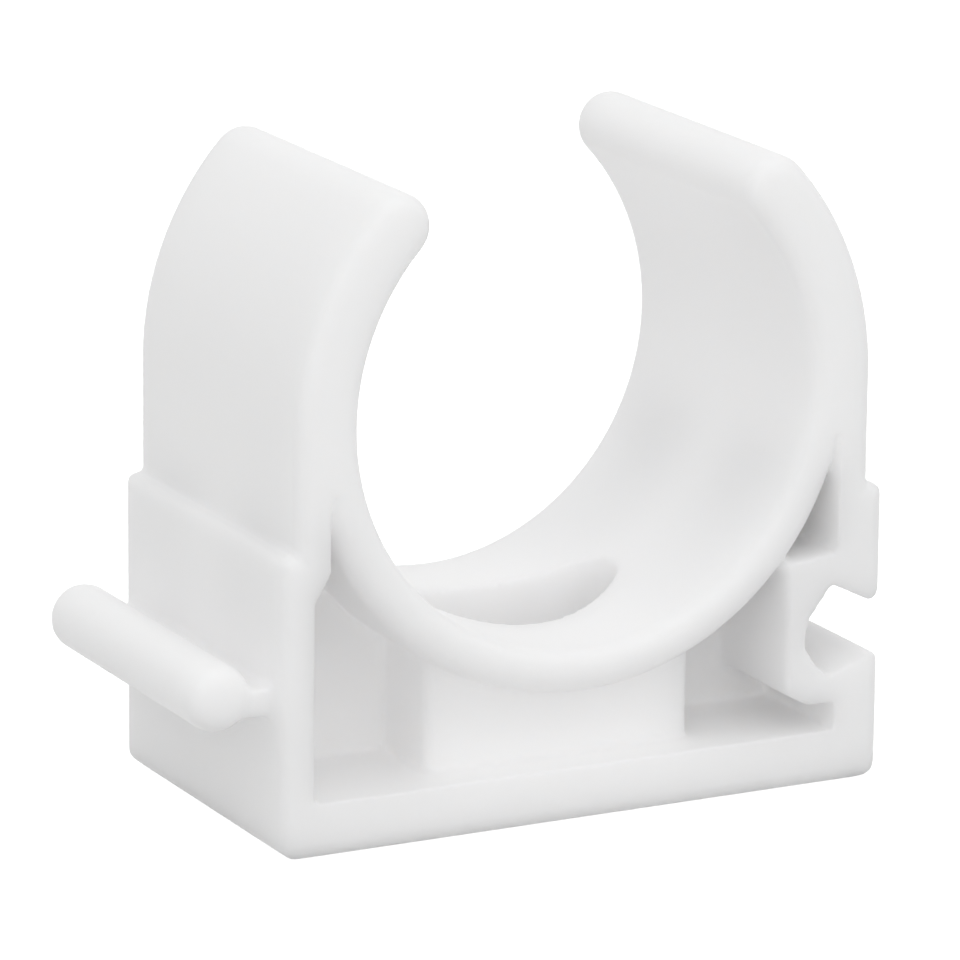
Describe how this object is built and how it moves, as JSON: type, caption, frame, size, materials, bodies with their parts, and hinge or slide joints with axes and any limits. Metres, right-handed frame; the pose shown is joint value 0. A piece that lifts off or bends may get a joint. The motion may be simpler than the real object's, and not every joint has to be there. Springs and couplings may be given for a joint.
{
  "type": "pipe clip",
  "caption": "One-piece snap-in plastic pipe clip on a flat base, with a recessed screw hole in its seat, a link rail on one side and a matching socket on the other.",
  "frame": {"origin": "underside of the base, on the axis of the screw hole", "axes": "+X across the clip towards the link socket, +Y along the pipe, +Z from the base up to the mouth"},
  "size_m": [0.0381, 0.0186, 0.0327],
  "materials": {
    "white_plastic": "moulded, soft matt white"
  },
  "bodies": {
    "root": {"clip": "white_plastic"}
  },
  "joints": []
}
